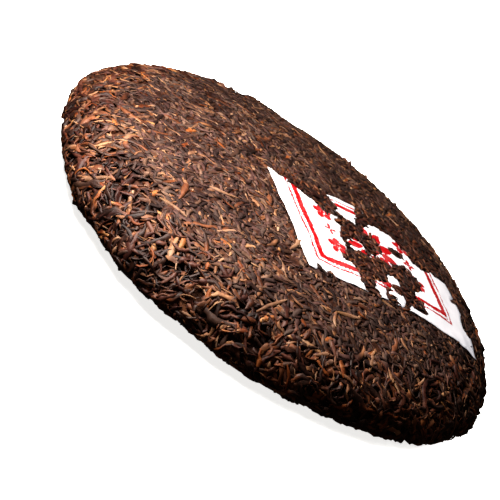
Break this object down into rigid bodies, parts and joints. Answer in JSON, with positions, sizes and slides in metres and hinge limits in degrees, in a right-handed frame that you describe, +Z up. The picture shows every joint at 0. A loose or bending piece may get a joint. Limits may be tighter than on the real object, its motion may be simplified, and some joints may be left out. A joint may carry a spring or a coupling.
{
  "type": "pu erh tea cake",
  "caption": "Pressed disc of twisted tea leaves with a crowned top, rounded rim and flat foot, with a paper ticket pressed into the top.",
  "frame": {"origin": "middle of the disc, half way across it each way, on the plane that its foot rests on", "axes": "+Z up through the crowned top, +X along the long side of the paper ticket, towards its outer end"},
  "size_m": [0.1984, 0.1998, 0.0328],
  "materials": {
    "tea_leaf": "dry, pressed leaf, satin",
    "ticket_paper": "thin matt paper"
  },
  "bodies": {
    "root": {"tea_cake": "tea_leaf", "paper_ticket": "ticket_paper"}
  },
  "joints": []
}
